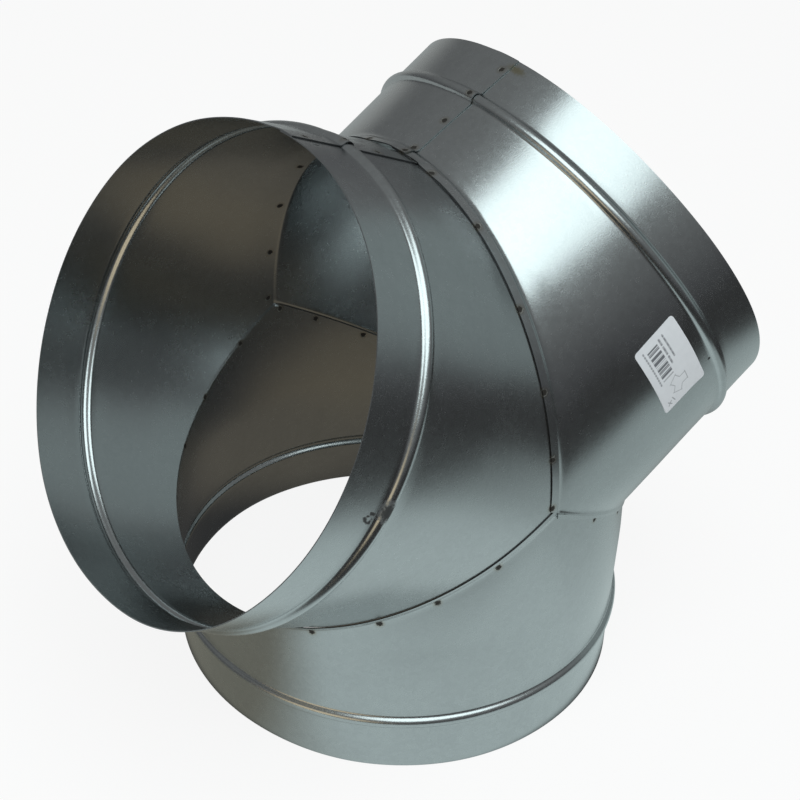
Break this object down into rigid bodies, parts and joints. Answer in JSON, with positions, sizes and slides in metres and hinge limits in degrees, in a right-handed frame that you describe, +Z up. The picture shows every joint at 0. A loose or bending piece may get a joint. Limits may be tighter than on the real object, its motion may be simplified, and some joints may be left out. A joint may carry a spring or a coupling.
{
  "type": "duct y branch",
  "caption": "Three-way Y branch in galvanised sheet steel: equal beaded collars at 120 degrees, with mitred, flanged and spot-welded joints and a paper label.",
  "frame": {"origin": "centre of the lower mouth, in the plane of its rim", "axes": "+Z up, along the lower sleeve's axis; X in the plane of the three axes, +X towards the right arm; -Y towards the side with the label"},
  "size_m": [0.3774, 0.2542, 0.3273],
  "materials": {
    "galvanised_sheet": "hot-dip galvanised sheet, fine spangle, half gloss",
    "label_paper": null
  },
  "bodies": {
    "root": {"left_sleeve": "galvanised_sheet", "right_sleeve": "galvanised_sheet", "lower_sleeve": "galvanised_sheet", "label": "label_paper"}
  },
  "joints": []
}
